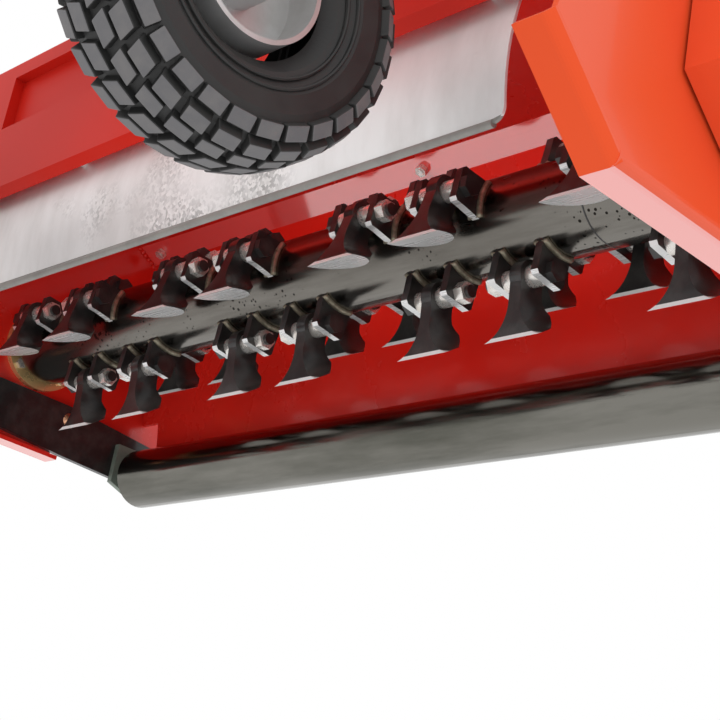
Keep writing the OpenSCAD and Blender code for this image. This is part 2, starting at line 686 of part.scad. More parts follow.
// Ground roller with its stub axles
module roller() color("dimgray") place() translate([0, roller_back, roller_z]) {
    difference() {
        rod_x(roller_r, -roller_half, roller_half);
        rod_x(roller_r - roller_wall, -roller_half + disc_t, roller_half - disc_t);
    }
    both_sides() rod_x(axle_r, roller_half, inner_half - arm_t - overrun);
}
module roller_arm() color("black") along_x(inner_half - arm_t, inner_half) difference() {
    polygon([[arm_front_y, arm_top_front - arm_corner], [arm_front_y + arm_corner, arm_top_front],
        [arm_bolt_y, arm_top_front], [arm_back_y - arm_corner, arm_top_back], [arm_back_y, arm_top_back - arm_corner],
        [arm_back_y, arm_low_back + arm_corner / 2], [arm_back_y - arm_corner, arm_low_back],
        [arm_bolt_y, arm_low_back + arm_corner / 4], [arm_front_y + arm_corner, arm_low_front],
        [arm_front_y, arm_low_front + arm_corner]]);
    translate([arm_bolt_y, arm_bolt_z]) circle(arm_bolt_r + bolt_gap);
    translate([arm_front_bolt_y, arm_front_bolt_z]) circle(arm_bolt_r + bolt_gap);
    translate([plate_bolt_y, plate_bolt_z]) circle(arm_bolt_r + bolt_gap);
}
module roller_arm_right() place() roller_arm();
module roller_arm_left() place() mirror([1, 0, 0]) roller_arm();
module roller_plates() color("gray") place() both_sides() along_x(inner_half - 2 * arm_t, inner_half - arm_t) difference() {
    polygon([[plate_front_y, plate_top_z], [plate_back_y, plate_top_z], [plate_back_y, plate_heel_z],
        [plate_tip_y, plate_tip_z], [plate_front_y, plate_toe_z]]);
    translate([roller_back, roller_z]) circle(axle_r + run_gap);
    translate([plate_bolt_y, plate_bolt_z]) circle(arm_bolt_r + bolt_gap);
}

// Wheels: pneumatic tyres on pressed rims that turn on stub axles
module at_wheel() translate([wheel_x, -wheel_front, wheel_z]) children();
module ring_x() rotate([0, 90, 0]) rotate_extrude() children();
module tyre() color("black") at_wheel() ring_x() {
    difference() {
        union() {
            translate([bead_r, -tyre_w / 2 + tyre_corner]) square([tyre_r - bead_r, tyre_w - 2 * tyre_corner]);
            translate([bead_r, -tyre_w / 2]) square([tyre_r - bead_r - tyre_corner, tyre_w]);
            for (side = [-1, 1]) translate([tyre_r - tyre_corner, side * (tyre_w / 2 - tyre_corner)]) circle(tyre_corner);
        }
        for (side = [-1, 1]) translate([bead_r, side * tyre_w / 2]) circle(rim_edge + overrun);
    }
}
module tyre_right() place() tyre();
module tyre_left() place() mirror([1, 0, 0]) tyre();
module rim() color("silver") at_wheel() difference() {
    union() {
        rod_x(bead_r - weld_gap, -tyre_w / 2 + rim_edge, tyre_w / 2 - rim_edge);
        rod_x(hub_wheel_r, -tyre_w / 2 - hub_wheel_out, tyre_w / 2 + hub_wheel_out);
    }
    for (side = [-1, 1]) difference() {
        rod_x(bead_r - rim_t, side * tyre_w / 2 - tyre_w / 2 + rim_t, side * tyre_w / 2 + tyre_w / 2 - rim_t);
        rod_x(hub_wheel_r, -tyre_w, tyre_w);
    }
    rod_x(axle_r + run_gap, -tyre_w, tyre_w);
}
module rim_right() place() rim();
module rim_left() place() mirror([1, 0, 0]) rim();

// Wheel leg: square tube that slides in its socket, with a stop collar and the welded stub axle
module leg() color("firebrick") {
    difference() {
        box([leg_x, -wheel_front - leg_w / 2, wheel_z - leg_w / 2],
            [leg_x + leg_w, -wheel_front + leg_w / 2, deck_top + leg_rise]);
        box([leg_x + leg_wall, -wheel_front - leg_w / 2 + leg_wall, wheel_z + leg_w / 2],
            [leg_x + leg_w - leg_wall, -wheel_front + leg_w / 2 - leg_wall, deck_top + leg_rise + overrun]);
    }
    box([leg_x + leg_w / 2 - socket_w / 2, -wheel_front - socket_w / 2, deck_top - socket_low - collar_t - bolt_gap],
        [leg_x + leg_w / 2 + socket_w / 2, -wheel_front + socket_w / 2, deck_top - socket_low - bolt_gap]);
    translate([0, -wheel_front, wheel_z]) {
        rod_x(axle_r, leg_x + leg_w, wheel_x + tyre_w / 2 + leg_side_gap);
        rod_x(axle_washer_r, wheel_x + tyre_w / 2 + hub_wheel_out + swing_gap, wheel_x + tyre_w / 2 + leg_side_gap);
    }
}
module leg_right() place() leg();
module leg_left() place() mirror([1, 0, 0]) leg();

// Drawbar: square tube on a vertical pin with a tow eye at its front end
module drawbar() color("firebrick") place() difference() {
    union() {
        difference() {
            box([-draw_w / 2, -tow_front + eye_plate_r / 2, tow_z - draw_w / 2], [draw_w / 2, tow_pin_y + draw_tail, tow_z + draw_w / 2]);
            box([-draw_w / 2 + tube_t, -tow_front - eye_plate_r, tow_z - draw_w / 2 + tube_t],
                [draw_w / 2 - tube_t, tow_pin_y - cheek_front, tow_z + draw_w / 2 - tube_t]);
        }
        translate([0, -tow_front, tow_z - eye_plate_t / 2]) cylinder(r = eye_plate_r, h = eye_plate_t);
        box([-eye_plate_r, -tow_front, tow_z - eye_plate_t / 2], [eye_plate_r, -tow_front + 2 * eye_plate_r, tow_z + eye_plate_t / 2]);
    }
    translate([0, -tow_front, tow_z - eye_plate_t]) cylinder(r = tow_bore_r, h = 2 * eye_plate_t);
    translate([0, tow_pin_y, tow_z - frame_w]) cylinder(r = tow_pin_r + run_gap, h = 2 * frame_w);
}

// Engine crankcase with a finned, inclined cylinder
module engine_block() color("gray") place() difference() {
    union() {
        box([block_left, crank_y - block_half, deck_top], [block_right, crank_y + block_half, crank_z + block_rise]);
        box([block_left, crank_y - block_half - foot_out, deck_top], [block_right, crank_y + block_half + foot_out, deck_top + foot_t]);
        translate([0, crank_y, crank_z]) rod_x(boss_r, block_right, block_right + boss_out);
        translate([(block_left + block_right) / 2, crank_y, crank_z]) rotate([-cyl_angle, 0, 0]) {
            translate([-cyl_w / 2, -cyl_d / 2, 0]) cube([cyl_w, cyl_d, cyl_len]);
            for (k = [0:fin_count - 1]) translate([-cyl_w / 2 - fin_out, -cyl_d / 2 - fin_out, fin_start + k * fin_step])
                cube([cyl_w + 2 * fin_out, cyl_d + 2 * fin_out, fin_t]);
        }
    }
    translate([0, crank_y, crank_z]) rod_x(crank_r + run_gap, block_right - crank_depth, block_right + 2 * boss_out);
}

// Fan cowl with the recoil starter, and the air cleaner box beside the block
module engine_cowl() color("dimgray") place() {
    translate([0, crank_y, crank_z]) difference() {
        union() {
            rod_x(cowl_r, block_left - cowl_w, block_left - bolt_gap);
            rod_x(starter_r, block_left - cowl_w - starter_w, block_left - cowl_w);
        }
        for (k = [0:slot_count - 1]) rotate([360 * k / slot_count, 0, 0])
            box([block_left - cowl_w - starter_w - overrun, slot_in, -slot_w / 2],
                [block_left - cowl_w - starter_w / 2, slot_out, slot_w / 2]);
    }
    box([block_left + slot_w, crank_y - block_half - filter_d, crank_z - filter_z],
        [block_left + slot_w + filter_w, crank_y - block_half - bolt_gap, crank_z - filter_z + filter_h]);
}

// Fuel tank with its cap
module fuel_tank() color("firebrick") place() {
    along_x(tank_left, tank_right) {
        translate([tank_front + tank_corner, crank_z + tank_low]) square([tank_back - tank_front - 2 * tank_corner, tank_high - tank_low]);
        translate([tank_front, crank_z + tank_low + tank_corner]) square([tank_back - tank_front, tank_high - tank_low - 2 * tank_corner]);
        for (y = [tank_front + tank_corner, tank_back - tank_corner]) for (z = [tank_low + tank_corner, tank_high - tank_corner])
            translate([y, crank_z + z]) circle(tank_corner);
    }
    translate([(tank_left + tank_right) / 2, (tank_front + tank_back) / 2, crank_z + tank_high]) cylinder(r = cap_r, h = cap_h);
}

// Muffler with its tail pipe
module muffler() color("gray") place() {
    box([muffler_left, muffler_y, crank_z - muffler_low], [muffler_right, muffler_y + muffler_d, crank_z - muffler_low + muffler_high]);
    translate([muffler_left, muffler_y + muffler_d / 2, crank_z + muffler_low]) rod_x(tail_r, -tail_len, 0);
    translate([(muffler_left + muffler_right) / 2, 0, crank_z + muffler_low])
        rod_y(exhaust_r, crank_y + block_half + bolt_gap, muffler_y);
}

// Engine pulley on the crankshaft's end
module engine_pulley() color("gray") place() translate([0, crank_y, crank_z]) {
    grooved_disc(engine_pulley_r);
    rod_x(crank_r, block_right - crank_depth + overrun, belt_x + pulley_t / 2 + shaft_tail);
}

// Drive belt: arcs over both pulleys joined by its two straight runs
belt_reach = sqrt(crank_y * crank_y + crank_z * crank_z);
belt_lean = atan2(-crank_y, crank_z);
belt_spread = asin((rotor_pulley_r - engine_pulley_r) / belt_reach);
belt_steps = 16;
module belt_loop(inset) polygon(concat(
    [for (k = [0:belt_steps]) let (turn = belt_spread - k * (180 + 2 * belt_spread) / belt_steps)
        [(rotor_pulley_r - inset) * cos(turn), (rotor_pulley_r - inset) * sin(turn)]],
    [for (k = [0:belt_steps]) let (turn = 180 - belt_spread - k * (180 - 2 * belt_spread) / belt_steps)
        [(engine_pulley_r - inset) * cos(turn), belt_reach + (engine_pulley_r - inset) * sin(turn)]]));
module drive_belt() color("black") place() along_x(belt_x - belt_half, belt_x + belt_half) rotate(belt_lean) difference() {
    belt_loop(belt_out);
    belt_loop(belt_in);
}

// Belt cover: a folded box over the drive, on three stand-offs from the side plate
module cover_outline(inset) {
    low = cover_low_z + inset;
    front = cover_front_y + inset;
    slope = tan(cover_slope);
    rise = cover_slope_z + inset / cos(cover_slope);
    polygon([[front, rise - (front - cover_slope_y) * slope], [cover_slope_y + (rise - low) / slope, low],
        [cover_heel_y, low], [cover_rear_y - inset, cover_heel_z + inset / 2], [cover_rear_y - inset, cover_top_z - cover_brow],
        [cover_rear_y - cover_brow - inset / 2, cover_top_z - inset], [front + cover_brow - inset / 2, cover_top_z - inset],
        [front, cover_top_z - cover_brow]]);
}
module belt_cover() color("orangered") place() {
    difference() {
        along_x(cover_back_x, cover_x) cover_outline(0);
        along_x(cover_back_x - overrun, cover_x - cover_t) cover_outline(cover_t);
    }
    for (share = cover_boss_shares) translate([0, share.x * cover_rear_y, share.y * cover_low_z])
        rod_x(cover_boss_r, outer_half, cover_x - cover_t);
}

hood_shell();
deck_frame();
side_plate_left();
side_plate_right();
front_panel();
front_guard();
zinc_fasteners();
rotor_tube();
rotor_ears();
flail_sleeves();
flail_bolts();
flail_nuts();
rotor_pulley();
bearing_flanges();
roller();
roller_arm_left();
roller_arm_right();
roller_plates();
tyre_left();
tyre_right();
rim_left();
rim_right();
leg_left();
leg_right();
drawbar();
engine_block();
engine_cowl();
fuel_tank();
muffler();
engine_pulley();
drive_belt();
belt_cover();
for (row = [0:3]) for (i = [0:row_counts[row] - 1])
    flail(row, i);
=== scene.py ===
# Flail mower: the finishes, weld beads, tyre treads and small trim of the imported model.
import json
import math

import bmesh
import bpy
from mathutils import Matrix, Vector


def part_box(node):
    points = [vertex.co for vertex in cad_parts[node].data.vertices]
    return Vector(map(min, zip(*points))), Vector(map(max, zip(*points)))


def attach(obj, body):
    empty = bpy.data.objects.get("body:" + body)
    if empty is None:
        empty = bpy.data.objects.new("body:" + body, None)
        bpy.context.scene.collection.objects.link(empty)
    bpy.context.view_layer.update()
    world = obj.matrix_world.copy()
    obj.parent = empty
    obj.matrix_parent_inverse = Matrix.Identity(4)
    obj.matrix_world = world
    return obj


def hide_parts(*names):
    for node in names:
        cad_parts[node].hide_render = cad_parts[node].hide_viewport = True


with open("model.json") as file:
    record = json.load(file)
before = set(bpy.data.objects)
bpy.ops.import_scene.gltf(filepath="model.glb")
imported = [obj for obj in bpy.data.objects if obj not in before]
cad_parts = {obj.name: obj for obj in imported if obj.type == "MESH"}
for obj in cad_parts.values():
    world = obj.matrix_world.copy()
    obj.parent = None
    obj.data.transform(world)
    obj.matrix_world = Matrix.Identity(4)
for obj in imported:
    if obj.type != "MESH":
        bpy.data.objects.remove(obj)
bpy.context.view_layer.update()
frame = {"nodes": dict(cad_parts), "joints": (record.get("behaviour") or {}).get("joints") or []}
nodes = frame["nodes"]


# Hood and deck: the hood is one bent sheet with a narrow facet between its rear wall and its top. It sits
# under the deck, and both are steel, welded along their edges and powder coated in one glossy red coat.
# Grass dust dulls the gloss in soft clouds. The facet is painted a brighter, pinker red with a strong coat,
# as painted light. Painted weld stitches join the facet's ends to the side plates.
def feed(tree, socket, value):
    if isinstance(value, bpy.types.NodeSocket):
        tree.links.new(value, socket)
    else:
        socket.default_value = value


def set_node(tree, node, **inputs):
    for name, value in inputs.items():
        feed(tree, node.inputs[name.replace("_", " ")], value)
    return node


def add_node(tree, kind, settings=(), **inputs):
    node = tree.nodes.new(kind)
    for name, value in dict(settings).items():
        setattr(node, name, value)
    return set_node(tree, node, **inputs)


def calculate(tree, kind, operation, *values, clamp=False):
    node = add_node(tree, kind, {"operation": operation})
    if clamp:
        node.use_clamp = True
    for socket, value in zip(node.inputs, values):
        feed(tree, socket, value)
    return node.outputs


def mix(tree, kind, share, first, second, blend="MIX"):
    node = add_node(tree, "ShaderNodeMix", {"data_type": kind, "blend_type": blend})
    sockets = {socket.identifier: socket for socket in (*node.inputs, *node.outputs)}
    ending = {"RGBA": "_Color", "FLOAT": "_Float"}[kind]
    feed(tree, sockets["Factor_Float"], share)
    feed(tree, sockets["A" + ending], first)
    feed(tree, sockets["B" + ending], second)
    return sockets["Result" + ending]


def open_group(name, sockets):
    group = bpy.data.node_groups.new(name, "ShaderNodeTree")
    for label, direction, kind, value in sockets:
        socket = group.interface.new_socket(label, in_out=direction, socket_type=kind)
        if value is not None:
            socket.default_value = value
    return group, group.nodes.new("NodeGroupInput").outputs, group.nodes.new("NodeGroupOutput")


# Clouds: two colours and two roughnesses mixed by soft noise, with a fine grain for the bump
clouds, given, result = open_group("Clouded finish", [
    ("Clean Color", "INPUT", "NodeSocketColor", (0.8, 0.8, 0.8, 1)),
    ("Marked Color", "INPUT", "NodeSocketColor", (0.5, 0.5, 0.5, 1)),
    ("Clean Roughness", "INPUT", "NodeSocketFloat", 0.3),
    ("Marked Roughness", "INPUT", "NodeSocketFloat", 0.5),
    ("Cloud Scale", "INPUT", "NodeSocketFloat", 8.0),
    ("Grain Scale", "INPUT", "NodeSocketFloat", 400.0),
    ("Amount", "INPUT", "NodeSocketFloat", 0.5),
    ("Stretch", "INPUT", "NodeSocketVector", (1.0, 1.0, 1.0)),
    ("Color", "OUTPUT", "NodeSocketColor", None),
    ("Roughness", "OUTPUT", "NodeSocketFloat", None),
    ("Height", "OUTPUT", "NodeSocketFloat", None),
])
spot = add_node(clouds, "ShaderNodeTexCoord").outputs["Object"]
spot = calculate(clouds, "ShaderNodeVectorMath", "MULTIPLY", spot, given["Stretch"])["Vector"]
cloud = add_node(
    clouds, "ShaderNodeTexNoise", Vector=spot, Scale=given["Cloud Scale"], Detail=6.0, Roughness=0.62)
grain = add_node(clouds, "ShaderNodeTexNoise", Vector=spot, Scale=given["Grain Scale"], Detail=2.0)
edges = add_node(clouds, "ShaderNodeMapRange", Value=cloud.outputs["Fac"], From_Min=0.42, From_Max=0.7)
share = calculate(clouds, "ShaderNodeMath", "MULTIPLY", edges.outputs["Result"], given["Amount"])["Value"]
set_node(
    clouds, result, Height=grain.outputs["Fac"],
    Color=mix(clouds, "RGBA", share, given["Clean Color"], given["Marked Color"]),
    Roughness=mix(clouds, "FLOAT", share, given["Clean Roughness"], given["Marked Roughness"]))
grain_height = 0.0005
coat_roughness = 0.06


def finish(name, clean, marked, rough, marked_rough, cloud_scale, grain_scale, amount, bump,
           stretch=(1.0, 1.0, 1.0), **constants):
    material = bpy.data.materials.new(name)
    material.use_nodes = True
    tree = material.node_tree
    pattern = add_node(
        tree, "ShaderNodeGroup", {"node_tree": clouds}, Clean_Color=(*clean, 1), Marked_Color=(*marked, 1),
        Clean_Roughness=rough, Marked_Roughness=marked_rough, Cloud_Scale=cloud_scale,
        Grain_Scale=grain_scale, Amount=amount, Stretch=stretch).outputs
    relief = add_node(
        tree, "ShaderNodeBump", Height=pattern["Height"], Strength=bump, Distance=grain_height)
    set_node(
        tree, tree.nodes["Principled BSDF"], Base_Color=pattern["Color"], Roughness=pattern["Roughness"],
        Normal=relief.outputs["Normal"], Coat_Roughness=coat_roughness, **constants)
    return material


def dress(material, *names):
    for name in names:
        mesh = nodes[name].data
        mesh.materials.clear()
        mesh.materials.append(material)


def dress_faces(material, name, chosen):
    mesh = nodes[name].data
    mesh.materials.append(material)
    for face in mesh.polygons:
        if chosen(face):
            face.material_index = len(mesh.materials) - 1


def facing(direction, least):
    return lambda face: face.normal.dot(Vector(direction)) > least


def new_piece(name, bm, material, body, smooth=True):
    bmesh.ops.recalc_face_normals(bm, faces=bm.faces)
    mesh = bpy.data.meshes.new(name)
    bm.to_mesh(mesh)
    bm.free()
    for face in mesh.polygons:
        face.use_smooth = smooth
    mesh.materials.append(material)
    piece = bpy.data.objects.new(name, mesh)
    bpy.context.collection.objects.link(piece)
    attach(piece, body)
    return piece


coat_grain = {"cloud_scale": 5.0, "grain_scale": 350.0}
red_paint = finish(
    "red powder coat", clean=(0.74, 0.018, 0.010), marked=(0.64, 0.035, 0.024),
    rough=0.24, marked_rough=0.42, amount=0.4, bump=0.05, Coat_Weight=0.3, **coat_grain)
dress(red_paint, "hood_shell", "deck_frame")
# Painted light: the facet takes a brighter, pinker red with a strong coat, standing in for light from below.
lit_facet_paint = finish(
    "red coat with painted light on the facet", clean=(0.96, 0.06, 0.05), marked=(0.88, 0.08, 0.07),
    rough=0.3, marked_rough=0.4, amount=0.4, bump=0.02, Coat_Weight=1.0, Coat_IOR=2.6, **coat_grain)
joint_places = {joint["name"]: Vector(joint["pos_m"]) for joint in frame["joints"] if "pos_m" in joint}
rotor_axis = joint_places["rotor_spin"]
facet_head = rotor_axis + Vector((0, 0.102, 0.189))
facet_run = Vector((0, 0.027, -0.0145))
facet_outward = Vector((0, facet_run.z, -facet_run.y)).normalized()
# Painted light: the facet's faces take the brighter red.
dress_faces(lit_facet_paint, "hood_shell", facing(facet_outward, least=0.99))
hood_half = 0.5435
stitch_count = 6
stitch_r = 0.0036
stitches = bmesh.new()
for end in (-hood_half, hood_half):
    for stitch in range(stitch_count):
        drop = bmesh.ops.create_uvsphere(stitches, u_segments=10, v_segments=6, radius=stitch_r)["verts"]
        place = facet_head + facet_run * stitch / (stitch_count - 1) + Vector((end, 0, 0))
        bmesh.ops.translate(stitches, vec=place, verts=drop)
new_piece("hood_stitches", stitches, red_paint, "frame")


# Side plates: thick steel sheet, cut to outline, with a flange rolled inwards along the bottom and up the
# nose. They are welded to the ends of the hood and the deck. Their outer faces and nose are painted a
# lighter orange red than the inner faces, as painted light, the nose with less shine, and the flange's
# underside is painted pink as a painted reflection.
# Painted light: a lighter orange red on the outer faces and the nose; a pink painted reflection under the
# flange.
lit_orange_red = {"clean": (0.86, 0.095, 0.026), "marked": (0.82, 0.105, 0.036), "amount": 0.5, **coat_grain}
lit_orange_red_paint = finish(
    "orange red coat, painted light", rough=0.3, marked_rough=0.42, bump=0.05, Coat_Weight=0.2, **lit_orange_red)
lit_nose_paint = finish(
    "orange red coat with painted light, less shine", rough=0.4, marked_rough=0.5, bump=0.05, Specular_IOR_Level=0.1, **lit_orange_red)
flange_reflection_paint = finish(
    "pink painted reflection on red coat", clean=(0.94, 0.20, 0.17), marked=(0.90, 0.22, 0.19),
    rough=0.3, marked_rough=0.4, amount=0.4, bump=0.02, Coat_Weight=1.0, Coat_IOR=3.0, **coat_grain)
for name, outside in (("side_plate_left", -1), ("side_plate_right", 1)):
    dress(red_paint, name)
    # Painted light on the outer faces and nose, painted reflection on the flange's underside.
    dress_faces(lit_orange_red_paint, name, facing((outside, 0, 0), least=0.1))
    dress_faces(lit_nose_paint, name, facing((0, -1, 0), least=0.1))
    dress_faces(flange_reflection_paint, name, facing((0, 0, -1), least=0.8))


# Front panel: flat sheet between the side plates, with a shallow pressed tray and its lower edge bent back.
# It is welded to the deck, and its red coat is duller than the hood's.
panel_paint = finish(
    "dull red coat", clean=(0.64, 0.022, 0.012), marked=(0.60, 0.045, 0.036),
    rough=0.4, marked_rough=0.5, amount=0.4, bump=0.05, Specular_IOR_Level=0.12, **coat_grain)
dress(panel_paint, "front_panel")


# Front guard: hot-dip galvanised sheet, bowed, with a rolled hem along its lower edge, on stays behind the
# panel. The zinc shows crystal spangle in patches, streaks where it ran off, and a dull grey hem.
def lay_over(material, share, colour, blend="MIX"):
    tree = material.node_tree
    shader = tree.nodes["Principled BSDF"]
    below = shader.inputs["Base Color"].links[0].from_socket
    set_node(tree, shader, Base_Color=mix(tree, "RGBA", share, below, colour, blend))


spangle = finish(
    "galvanised sheet", clean=(0.90, 0.90, 0.895), marked=(0.60, 0.59, 0.57), rough=0.40, marked_rough=0.50,
    cloud_scale=11.0, grain_scale=220.0, amount=0.7, bump=0.08, stretch=(1.0, 1.0, 0.3), Metallic=0.35)
tree = spangle.node_tree
spot = add_node(tree, "ShaderNodeTexCoord").outputs["Object"]
patch = add_node(tree, "ShaderNodeTexNoise", Vector=spot, Scale=7.0, Detail=3.0)
patch_share = add_node(
    tree, "ShaderNodeMapRange", Value=patch.outputs["Fac"], From_Min=0.54, From_Max=0.70, To_Max=0.8)
crystal = add_node(tree, "ShaderNodeTexVoronoi", Vector=spot, Scale=330.0)
crystal_draw = add_node(tree, "ShaderNodeSeparateColor", Color=crystal.outputs["Color"])
crystal_tone = add_node(
    tree, "ShaderNodeMapRange", Value=crystal_draw.outputs["Red"], From_Min=0.15, From_Max=0.85,
    To_Min=0.45, To_Max=1.15)
lay_over(spangle, patch_share.outputs["Result"], crystal_tone.outputs["Result"], "MULTIPLY")
dress(spangle, "front_guard")
dull_zinc = finish(
    "dull zinc hem", clean=(0.30, 0.29, 0.27), marked=(0.18, 0.17, 0.16), rough=0.5, marked_rough=0.6,
    cloud_scale=30.0, grain_scale=300.0, amount=0.6, bump=0.1, Metallic=0.3)
hem_height = 0.007
hem_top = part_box("front_guard")[0][2] + hem_height
dress_faces(dull_zinc, "front_guard", lambda face: face.center.z < hem_top)


# Plated fasteners: hood bolts, bearing bolts, arm bolts, clamp screws and the tow pin, turned or forged
# from steel and plated in bright zinc. The domed heads of the arm bolts are copper coloured.
plating = {"cloud_scale": 120.0, "grain_scale": 900.0, "amount": 0.5, "bump": 0.08}
bright_zinc = finish(
    "bright zinc", clean=(0.82, 0.79, 0.75), marked=(0.52, 0.43, 0.35), rough=0.24, marked_rough=0.5,
    Metallic=0.7, **plating)
dress(bright_zinc, "zinc_fasteners")
copper_plate = finish(
    "copper plate", clean=(0.78, 0.42, 0.26), marked=(0.50, 0.25, 0.15), rough=0.25, marked_rough=0.45,
    Metallic=1.0, **plating)
dome_x = 0.5265
dome_reach = 0.0155
arm_face_x = 0.5362
rear_dome = Vector((0, 0.057, -0.074))
front_dome = Vector((0, -0.072, -0.082))
domes = [rotor_axis + dome + Vector((x, 0, 0)) for x in (-dome_x, dome_x) for dome in (rear_dome, front_dome)]


def on_dome(face):
    near = min((face.center - dome).length for dome in domes) < dome_reach
    return near and abs(face.center.x - rotor_axis.x) < arm_face_x


dress_faces(copper_plate, "zinc_fasteners", on_dome)


# Bearing flanges: turned steel discs, each with its hub through the side plate, yellow passivated and
# bolted to the plate's inside. They carry the rotor's stub shafts.
yellow_zinc = finish(
    "yellow passivate", clean=(0.78, 0.56, 0.25), marked=(0.58, 0.38, 0.18), rough=0.25, marked_rough=0.4,
    cloud_scale=30.0, grain_scale=700.0, amount=0.6, bump=0.06, Metallic=0.6)
dress(yellow_zinc, "bearing_flanges")


# Rotor tube: drawn steel tube left bare and oiled, with streaks along its length and black specks of weld
# spatter. A fine dark line rings it where two lengths of tube were joined.
oiled_steel = finish(
    "oiled steel tube", clean=(0.19, 0.178, 0.160), marked=(0.085, 0.076, 0.064), rough=0.20,
    marked_rough=0.32, cloud_scale=30.0, grain_scale=260.0, amount=0.9, bump=0.05, stretch=(0.12, 1.0, 1.0),
    Metallic=1.0)
speck_colour = (0.02, 0.018, 0.015, 1)
tree = oiled_steel.node_tree
spot = add_node(tree, "ShaderNodeTexCoord").outputs["Object"]
speck = add_node(tree, "ShaderNodeTexVoronoi", Vector=spot, Scale=170.0)
speck_field = add_node(tree, "ShaderNodeTexNoise", Vector=spot, Scale=14.0, Detail=3.0)
speck_size = add_node(
    tree, "ShaderNodeMapRange", Value=speck_field.outputs["Fac"], From_Min=0.44, From_Max=0.7, To_Max=0.42)
in_speck = calculate(
    tree, "ShaderNodeMath", "LESS_THAN", speck.outputs["Distance"], speck_size.outputs["Result"])["Value"]
lay_over(oiled_steel, in_speck, speck_colour)
dress(oiled_steel, "rotor_tube")
ring_sides = 8


def once_each(elements):
    return list(dict.fromkeys(elements))


def swept_ring(bm, along, radius, thick, wide, steps, start=0.0, sweep=math.tau):
    ring = bmesh.ops.create_circle(bm, segments=ring_sides, radius=1)["verts"]
    bmesh.ops.scale(bm, vec=(wide, thick, 1), verts=ring)
    bmesh.ops.translate(bm, vec=(along, radius, 0), verts=ring)
    bmesh.ops.rotate(bm, cent=(0, 0, 0), matrix=Matrix.Rotation(start, 3, "X"), verts=ring)
    lines = once_each(line for vert in ring for line in vert.link_edges)
    bmesh.ops.spin(bm, geom=ring + lines, cent=(0, 0, 0), axis=(1, 0, 0), angle=sweep, steps=steps,
                   use_merge=sweep == math.tau)


black_paint = finish(
    "thin black paint", clean=(0.014, 0.013, 0.013), marked=(0.05, 0.045, 0.042), rough=0.30,
    marked_rough=0.5, cloud_scale=60.0, grain_scale=500.0, amount=0.6, bump=0.15, Coat_Weight=0.2)
tube_r = 0.04445
seam_x = 0.350
seam = bmesh.new()
swept_ring(seam, along=seam_x, radius=tube_r, thick=0.00025, wide=0.0009, steps=96)
bmesh.ops.translate(seam, vec=rotor_axis, verts=seam.verts)
new_piece("tube_seam", seam, black_paint, "rotor")


# Ears and flail bolts: ears cut from plate stand in pairs along the tube in four rows, in thin black paint,
# with a painted highlight of bright steel on the faces that point down. Brown, scaly weld beads run round
# the tube along both faces of each ear's foot. A bolt with a zinc-plated sleeve and lock nut crosses each
# pair.
# Bright steel: real ground faces on the flails, and a painted highlight on the ears' downward faces.
ground_steel_and_highlight = finish(
    "ground steel and painted highlight", clean=(0.78, 0.78, 0.78), marked=(0.66, 0.65, 0.64), rough=0.25, marked_rough=0.4,
    cloud_scale=90.0, grain_scale=600.0, amount=0.6, bump=0.1, stretch=(0.1, 1.0, 1.0), Metallic=0.4)
dress(black_paint, "rotor_ears", "flail_bolts")
# Painted highlight: the ears' downward faces take bright steel, standing in for light reflected from below.
dress_faces(ground_steel_and_highlight, "rotor_ears", facing((0, 0, -1), least=0.6))
dress(bright_zinc, "flail_nuts", "flail_sleeves")
weld_scale = finish(
    "weld bead", clean=(0.30, 0.27, 0.20), marked=(0.10, 0.075, 0.05), rough=0.4, marked_rough=0.7,
    cloud_scale=150.0, grain_scale=420.0, amount=0.8, bump=0.9, Metallic=0.7)
bolts = {joint["child"]: Vector(joint["pos_m"]) for joint in frame["joints"] if "flail_" in joint["child"]}
ear_inside = 0.0202
ear_outside = 0.0295
bead_rise = 0.0008
bead_half_turn = math.radians(24)
beads = bmesh.new()
for bolt in bolts.values():
    lug = bolt - rotor_axis
    for face_x in (-ear_outside, -ear_inside, ear_inside, ear_outside):
        swept_ring(
            beads, along=lug.x + face_x, radius=tube_r + bead_rise, thick=0.0034, wide=0.0036, steps=12,
            start=math.atan2(lug.z, lug.y) - bead_half_turn, sweep=2 * bead_half_turn)
bmesh.ops.holes_fill(beads, edges=beads.edges, sides=ring_sides)
bmesh.ops.translate(beads, vec=rotor_axis, verts=beads.verts)
new_piece("weld_beads", beads, weld_scale, "rotor")


# Flails: forged hammers in the same thin black paint, hung on the sleeves. Their lower faces are ground
# bright, and the stone took the paint off the last few millimetres beside them.

# Edge: a mask that is 1 beyond a given distance from the flail's bolt
edge, given, result = open_group("Ground edge", [
    ("Bolt", "INPUT", "NodeSocketVector", (0.0, 0.0, 0.0)),
    ("Start", "INPUT", "NodeSocketFloat", 0.1),
    ("Mask", "OUTPUT", "NodeSocketFloat", None),
])
across_bolt = (0, 1, 1)
spot = add_node(edge, "ShaderNodeTexCoord").outputs["Object"]
arm = calculate(edge, "ShaderNodeVectorMath", "SUBTRACT", spot, given["Bolt"])["Vector"]
arm = calculate(edge, "ShaderNodeVectorMath", "MULTIPLY", arm, across_bolt)["Vector"]
distance = calculate(edge, "ShaderNodeVectorMath", "LENGTH", arm)["Value"]
beyond = calculate(edge, "ShaderNodeMath", "GREATER_THAN", distance, given["Start"])["Value"]
set_node(edge, result, Mask=beyond)

